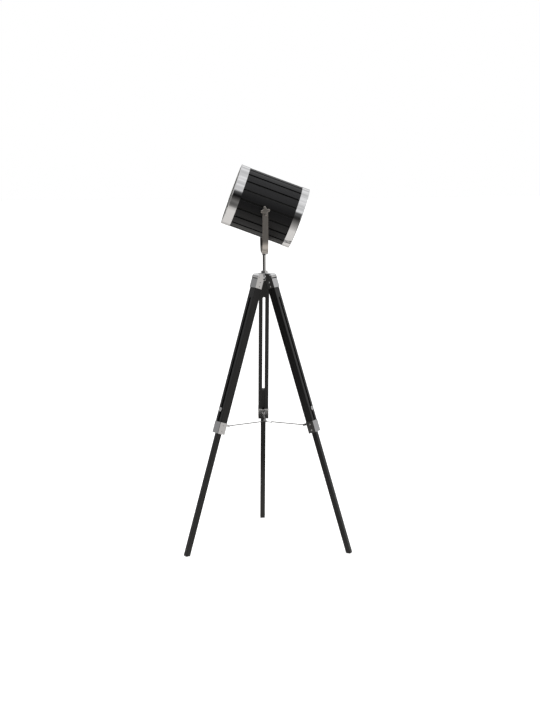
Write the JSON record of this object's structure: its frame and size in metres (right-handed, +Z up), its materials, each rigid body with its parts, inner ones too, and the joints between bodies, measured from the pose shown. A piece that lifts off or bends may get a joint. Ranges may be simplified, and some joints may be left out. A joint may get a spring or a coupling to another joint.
{
  "type": "tripod floor lamp",
  "caption": "Floor lamp with a ribbed drum head in a tilting yoke, on a folding tripod of slotted legs with telescoping lower legs and a rod spreader.",
  "frame": {"origin": "on the floor, under the middle of the box round the whole lamp", "axes": "+Z up; the head's mouth looks towards -X and up; one leg points to +Y (rear), two to the front; the tripod's own upright axis is at x 0, y -0.0848 m"},
  "size_m": [0.6244, 0.5411, 1.4276],
  "materials": {
    "black_wood": "black stained, satin lacquer",
    "slat_lacquer": "black lacquer, satin",
    "shell_paint": "pale satin paint inside, black outside",
    "back_paint": "black satin paint",
    "chrome": "polished",
    "screw_steel": "bright plated",
    "yoke_steel": "brushed nickel",
    "pad_rubber": "matte",
    "holder_plastic": "moulded",
    "bulb_metal": "bright",
    "bulb_glass": "frosted inside"
  },
  "bodies": {
    "hub": {"hub": "chrome", "collar": "chrome", "stem_rod": "chrome", "stem_nut": "chrome", "yoke_nut": "chrome", "pan_bolt": "chrome"},
    "yoke": {"yoke": "yoke_steel", "pivot_washers": "screw_steel"},
    "head": {"pivot_bolts": "screw_steel", "pivot_nuts": "screw_steel", "drum_shell": "shell_paint", "slats": "slat_lacquer", "front_ring": "chrome", "rear_ring": "chrome", "back_plate": "back_paint", "cord_grommet": "pad_rubber", "lampholder": "holder_plastic", "nipple_nut": "chrome", "bulb_cap": "bulb_metal", "bulb_glass": "bulb_glass"},
    "knob_front": {"star_knob_front": "yoke_steel"},
    "knob_back": {"star_knob_back": "yoke_steel"},
    "leg_rear": {"leg_cap_rear": "chrome", "cap_screws_rear": "screw_steel", "hinge_bolt_rear": "chrome", "upper_leg_rear": "black_wood", "ferrule_rear": "chrome", "ferrule_screws_rear": "screw_steel", "spreader_bracket_rear": "chrome", "spreader_pin_rear": "chrome"},
    "lower_leg_rear": {"lower_leg_rear": "black_wood", "foot_pad_rear": "pad_rubber"},
    "thumb_rear": {"thumb_screw_rear": "chrome"},
    "spreader_arm_rear": {"spreader_arm_rear": "chrome", "spreader_button": "chrome"},
    "leg_left": {"leg_cap_left": "chrome", "cap_screws_left": "screw_steel", "hinge_bolt_left": "chrome", "upper_leg_left": "black_wood", "ferrule_left": "chrome", "ferrule_screws_left": "screw_steel", "spreader_bracket_left": "chrome", "spreader_pin_left": "chrome"},
    "lower_leg_left": {"lower_leg_left": "black_wood", "foot_pad_left": "pad_rubber"},
    "thumb_left": {"thumb_screw_left": "chrome"},
    "spreader_arm_left": {"spreader_arm_left": "chrome"},
    "leg_right": {"leg_cap_right": "chrome", "cap_screws_right": "screw_steel", "hinge_bolt_right": "chrome", "upper_leg_right": "black_wood", "ferrule_right": "chrome", "ferrule_screws_right": "screw_steel", "spreader_bracket_right": "chrome", "spreader_pin_right": "chrome"},
    "lower_leg_right": {"lower_leg_right": "black_wood", "foot_pad_right": "pad_rubber"},
    "thumb_right": {"thumb_screw_right": "chrome"},
    "spreader_arm_right": {"spreader_arm_right": "chrome"}
  },
  "joints": [
    {"name": "head_pan", "type": "hinge", "parent": "hub", "child": "yoke", "pos_m": [0, -0.08479, 1.10305], "axis": [0, 0, 1], "range_deg": [-170, 170]},
    {"name": "head_tilt", "type": "hinge", "parent": "yoke", "child": "head", "pos_m": [0, -0.08479, 1.26205], "axis": [0, 1, 0], "range_deg": [-55, 14]},
    {"name": "knob_front_turn", "type": "hinge", "parent": "head", "child": "knob_front", "pos_m": [0, -0.20614, 1.26205], "axis": [0, -1, 0], "continuous": true},
    {"name": "knob_back_turn", "type": "hinge", "parent": "head", "child": "knob_back", "pos_m": [0, 0.03656, 1.26205], "axis": [0, 1, 0], "continuous": true},
    {"name": "leg_fold_rear", "type": "hinge", "parent": "hub", "child": "leg_rear", "pos_m": [0, -0.05379, 1.018], "axis": [-1, 0, 0], "range_deg": [0, 12.5]},
    {"name": "leg_slide_rear", "type": "slide", "parent": "leg_rear", "child": "lower_leg_rear", "axis": [0, -0.3034, 0.9529], "range_m": [0, 0.385]},
    {"name": "thumb_turn_rear", "type": "hinge", "parent": "lower_leg_rear", "child": "thumb_rear", "pos_m": [0, 0.10762, 0.53311], "axis": [0, 0.9529, 0.3034], "continuous": true},
    {"name": "spreader_fold_rear", "type": "hinge", "parent": "leg_rear", "child": "spreader_arm_rear", "pos_m": [0, 0.07726, 0.46793], "axis": [-1, 0, 0], "range_deg": [0, 75.64]},
    {"name": "leg_fold_left", "type": "hinge", "parent": "hub", "child": "leg_left", "pos_m": [-0.02685, -0.10029, 1.018], "axis": [0.5, -0.866, 0], "range_deg": [0, 12.5]},
    {"name": "leg_slide_left", "type": "slide", "parent": "leg_left", "child": "lower_leg_left", "axis": [0.2627, 0.1517, 0.9529], "range_m": [0, 0.385]},
    {"name": "thumb_turn_left", "type": "hinge", "parent": "lower_leg_left", "child": "thumb_left", "pos_m": [-0.16663, -0.18099, 0.53311], "axis": [-0.8252, -0.4764, 0.3034], "continuous": true},
    {"name": "spreader_fold_left", "type": "hinge", "parent": "leg_left", "child": "spreader_arm_left", "pos_m": [-0.14034, -0.16581, 0.46793], "axis": [0.5, -0.866, 0], "range_deg": [0, 67.51]},
    {"name": "leg_fold_right", "type": "hinge", "parent": "hub", "child": "leg_right", "pos_m": [0.02685, -0.10029, 1.018], "axis": [0.5, 0.866, 0], "range_deg": [0, 12.5]},
    {"name": "leg_slide_right", "type": "slide", "parent": "leg_right", "child": "lower_leg_right", "axis": [-0.2627, 0.1517, 0.9529], "range_m": [0, 0.385]},
    {"name": "thumb_turn_right", "type": "hinge", "parent": "lower_leg_right", "child": "thumb_right", "pos_m": [0.16663, -0.18099, 0.53311], "axis": [0.8252, -0.4764, 0.3034], "continuous": true},
    {"name": "spreader_fold_right", "type": "hinge", "parent": "leg_right", "child": "spreader_arm_right", "pos_m": [0.14034, -0.16581, 0.46793], "axis": [0.5, 0.866, 0], "range_deg": [0, 61.26]}
  ],
  "couplings": [
    {"joint": "spreader_fold_rear", "follows": "leg_fold_rear", "ratio": 6.05},
    {"joint": "leg_fold_left", "follows": "leg_fold_rear", "ratio": 1},
    {"joint": "spreader_fold_left", "follows": "leg_fold_rear", "ratio": 5.4},
    {"joint": "leg_fold_right", "follows": "leg_fold_rear", "ratio": 1},
    {"joint": "spreader_fold_right", "follows": "leg_fold_rear", "ratio": 4.9}
  ]
}
